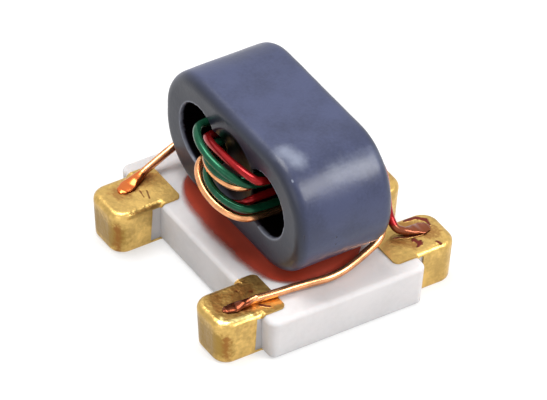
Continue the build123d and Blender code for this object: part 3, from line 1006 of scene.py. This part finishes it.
def spread_at(share):
    """Width and thickness factors of a pressed end at a share of its length."""
    for (start, wide, thick), (end, next_wide, next_thick) in zip(SPREAD, SPREAD[1:]):
        if share <= end:
            part = (share - start) / (end - start)
            part = part * part * (3 - 2 * part)
            return wide + (next_wide - wide) * part, thick + (next_thick - thick) * part
    return SPREAD[-1][1:]


def press_end(piece, start, press, wire):
    """Squashes one end of a wire onto its pad: flat, wide and a little uneven."""
    heading = direction(press)
    across = heading.cross(Vector((0, 0, 1)))
    start = Vector(start)
    radius = wire.diameter / MM / 2
    pressed = wire.pressed / MM
    for vertex in piece.data.vertices:
        from_start = vertex.co - start
        along = from_start.dot(heading)
        sideways = from_start.dot(across)
        beside = abs(sideways) < 2 * radius and abs(from_start.z) < 2 * radius
        if not (beside and 0 < along <= press.length * 1.01):
            continue
        wide, thick = spread_at(min(along / press.length, 1))
        wobble = 1 + PRESS_WOBBLE * noise.noise(vertex.co * 9)
        new_side = sideways / radius * press.width / 2 * wide * wobble
        new_rise = (from_start.z / radius + 1) / 2 * pressed * thick
        vertex.co = start + heading * along + across * new_side
        vertex.co.z = PAD_TOP - 0.004 + new_rise


def make_winding(name, route, wire, material):
    """One whole wire: lead, turns, lead, and its two pressed ends."""
    first, last = PRESSED_ENDS[name]
    line = lead_in(route[0], first) + [Vector(point) for point in route] + lead_in(route[-1], last)[::-1]
    piece = tube(f"{name}_wire", line, wire.diameter / MM / 2)
    press_end(piece, route[0], first, wire)
    press_end(piece, route[-1], last, wire)
    ends = [(Vector(route[0]), first), (Vector(route[-1]), last)]

    def nearest_end(place):
        return min(ends, key=lambda end: (place - end[0]).length)

    def scorch(place):
        """How far along a pressed end a point lies, from where the wire lifts off the pad."""
        end, press = nearest_end(place)
        ahead = (place - end).dot(direction(press)) + press.scorched
        return clamp(ahead / SCORCH_FADE) if place.z < PAD_TOP + 0.15 else 0.0

    paint(piece, "scorch", scorch)
    paint(piece, "char", lambda place: nearest_end(place)[1].char)
    finish_piece(piece, [name], material, 60)
    return piece


# --- Stage ---


# Each lamp's name, place and width, in millimetres
LAMPS = [("key", (-6, -3, 26), 14), ("side", (17, 11, 18), 12), ("front", (12, -24, 12), 16)]
FLOOR_WIDTH = 400
BOUNCE_WHITE = 0.6


def aim(thing, target):
    """Turns a lamp or camera so that it looks at a point."""
    thing.rotation_mode = "QUATERNION"
    thing.rotation_quaternion = (Vector(target) - thing.location).to_track_quat("-Z", "Y")


def make_camera(stage):
    """The camera at its viewing angle, aimed a little above the origin."""
    a, e, roll = stage.azimuth, stage.elevation, stage.roll
    back = Vector((math.sin(a) * math.cos(e), -math.cos(a) * math.cos(e), math.sin(e)))
    right = Vector((math.cos(a), math.sin(a), 0))
    up = back.cross(right)
    tilted_right = right * math.cos(roll) + up * math.sin(roll)
    tilted_up = up * math.cos(roll) - right * math.sin(roll)
    bpy.ops.object.camera_add(location=back * stage.distance)
    camera = bpy.context.active_object
    camera.data.lens = stage.lens
    camera.data.sensor_width = 36
    camera.data.clip_start = stage.distance / 20
    camera.data.clip_end = stage.distance * 20
    aim(camera, tilted_right * stage.aim_right + tilted_up * stage.aim_up)
    camera.rotation_quaternion = camera.rotation_quaternion @ Quaternion((0, 0, 1), roll)
    bpy.context.scene.camera = camera


def make_lamp(name, place, size, energy):
    """A soft square lamp that looks at the part."""
    bpy.ops.object.light_add(type="AREA", location=Vector(place) * MM)
    lamp = bpy.context.active_object
    lamp.name = name
    lamp.data.size = size * MM
    lamp.data.energy = energy
    aim(lamp, CORE_MIDDLE * MM)


def seen_directly(nodes):
    """1 for rays from the camera, off a glossy face or through a clear one, 0 for all others."""
    path = nodes.add("ShaderNodeLightPath")
    seen = nodes.highest(path.outputs["Is Camera Ray"], path.outputs["Is Glossy Ray"])
    return nodes.highest(seen, path.outputs["Is Transmission Ray"])


def floor_material(stage):
    """Pale floor that shows as white to the camera, to glossy faces and through clear ones."""
    material, nodes, shader, _ = new_material("Floor")
    seen = seen_directly(nodes)
    lit = 1 - stage.glow
    nodes.feed(shader, "Base Color", nodes.mix(seen, (BOUNCE_WHITE,) * 3, (lit,) * 3))
    shader.inputs["Emission Color"].default_value = (1, 1, 1, 1)
    nodes.feed(shader, "Emission Strength", nodes.times(seen, stage.glow))
    set_sockets(shader, {"Roughness": 1.0, "Specular IOR Level": 0.0})
    return material


def make_world(stage):
    """Even light from all round, white where it is seen directly."""
    world = bpy.context.scene.world or bpy.data.worlds.new("Sky")
    bpy.context.scene.world = world
    world.use_nodes = True
    nodes = Nodes(world.node_tree)
    background = next(n for n in world.node_tree.nodes if n.type == "BACKGROUND")
    strength = nodes.highest(seen_directly(nodes), stage.sky)
    background.inputs["Color"].default_value = (1, 1, 1, 1)
    nodes.feed(background, "Strength", strength)


# --- Operators ---


def finish_named(name):
    """A finish that has been made, by name."""
    return bpy.data.materials[name]


def finish_node(name, finish):
    """Gives a solid of the frame its finish."""
    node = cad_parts[name]
    node.data.materials.clear()
    node.data.materials.append(finish_named(finish))


class TRANSFORMER_OT_finishes(bpy.types.Operator):
    """Makes the finishes of all pieces"""

    bl_idname = "transformer.finishes"
    bl_label = "Finishes"

    def execute(self, context):
        colours = context.scene.transformer_colours
        mottle_group()
        streak_group()
        moulding_material(colours)
        gold_material(colours)
        coating_material(colours)
        adhesive_material(colours)
        enamel_material("Copper enamel", colours.copper, colours, 0.95)
        enamel_material("Red enamel", colours.red, colours, 0.55)
        enamel_material("Green enamel", colours.green, colours, 0.55)
        return {"FINISHED"}


class TRANSFORMER_OT_base(bpy.types.Operator):
    """Finishes the white moulded base"""

    bl_idname = "transformer.base"
    bl_label = "Base"

    def execute(self, context):
        finish_node("base", "White moulding")
        return {"FINISHED"}


class TRANSFORMER_OT_terminals(bpy.types.Operator):
    """Finishes the gold terminals"""

    bl_idname = "transformer.terminals"
    bl_label = "Terminals"

    def execute(self, context):
        for name in TERMINALS:
            finish_node(name, "Gold plating")
        return {"FINISHED"}


class TRANSFORMER_OT_core(bpy.types.Operator):
    """Models the coated ferrite core"""

    bl_idname = "transformer.core"
    bl_label = "Core"

    def execute(self, context):
        make_core(context.scene.transformer_core, finish_named("Core coating"))
        return {"FINISHED"}


class TRANSFORMER_OT_adhesive(bpy.types.Operator):
    """Models the bead of adhesive under the core"""

    bl_idname = "transformer.adhesive"
    bl_label = "Adhesive"

    def execute(self, context):
        make_adhesive(context.scene.transformer_glue, finish_named("Adhesive"))
        return {"FINISHED"}


class TRANSFORMER_OT_windings(bpy.types.Operator):
    """Winds the three enamelled wires"""

    bl_idname = "transformer.windings"
    bl_label = "Windings"

    def execute(self, context):
        wire = context.scene.transformer_wire
        winder = Winder(context.scene.transformer_core, wire)
        routes = {"copper": winder.copper(), "red": winder.red(), "green": winder.green()}
        for tint, route in routes.items():
            finish = finish_named(f"{tint.title()} enamel")
            make_winding(f"{tint}_winding", route, wire, finish)
        return {"FINISHED"}


class TRANSFORMER_OT_stage(bpy.types.Operator):
    """Sets up the floor, the lamps, the sky and the camera"""

    bl_idname = "transformer.stage"
    bl_label = "Stage"

    def execute(self, context):
        stage = context.scene.transformer_stage
        bpy.ops.object.select_all(action="DESELECT")
        bpy.ops.mesh.primitive_plane_add(size=FLOOR_WIDTH * MM, location=(0, 0, 0))
        floor = bpy.context.active_object
        floor.name = "floor"
        floor.data.materials.append(floor_material(stage))
        for name, place, size in LAMPS:
            make_lamp(name, place, size, getattr(stage, name))
        make_world(stage)
        context.scene.view_settings.view_transform = "Standard"
        make_camera(stage)
        return {"FINISHED"}


OPERATORS = (
    TRANSFORMER_OT_finishes,
    TRANSFORMER_OT_base,
    TRANSFORMER_OT_terminals,
    TRANSFORMER_OT_core,
    TRANSFORMER_OT_adhesive,
    TRANSFORMER_OT_windings,
    TRANSFORMER_OT_stage,
)


class TRANSFORMER_PT_panel(bpy.types.Panel):
    """Lists the steps that build the transformer, and their settings"""

    bl_label = "Transformer"
    bl_idname = "TRANSFORMER_PT_panel"
    bl_space_type = "VIEW_3D"
    bl_region_type = "UI"
    bl_category = "Transformer"

    def draw(self, context):
        for operator in OPERATORS:
            self.layout.operator(operator.bl_idname)
        for name in SETTINGS:
            settings = getattr(context.scene, name)
            box = self.layout.box()
            for field in settings.bl_rna.properties:
                if not field.is_readonly and field.identifier != "name":
                    box.prop(settings, field.identifier)


SETTINGS = {
    "transformer_core": CoreSizes,
    "transformer_wire": WireSizes,
    "transformer_glue": GlueSizes,
    "transformer_colours": FinishColours,
    "transformer_stage": StageSettings,
}


def register():
    for group in SETTINGS.values():
        bpy.utils.register_class(group)
    for name, group in SETTINGS.items():
        setattr(bpy.types.Scene, name, bpy.props.PointerProperty(type=group))
    for operator in OPERATORS:
        bpy.utils.register_class(operator)
    bpy.utils.register_class(TRANSFORMER_PT_panel)


def unregister():
    bpy.utils.unregister_class(TRANSFORMER_PT_panel)
    for operator in reversed(OPERATORS):
        bpy.utils.unregister_class(operator)
    for name in SETTINGS:
        delattr(bpy.types.Scene, name)
    for group in reversed(SETTINGS.values()):
        bpy.utils.unregister_class(group)


def main():
    """Builds everything in order."""
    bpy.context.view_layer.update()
    register()
    bpy.ops.transformer.finishes()
    bpy.ops.transformer.base()
    bpy.ops.transformer.terminals()
    bpy.ops.transformer.core()
    bpy.ops.transformer.adhesive()
    bpy.ops.transformer.windings()
    bpy.ops.transformer.stage()


if __name__ == "__main__":
    main()
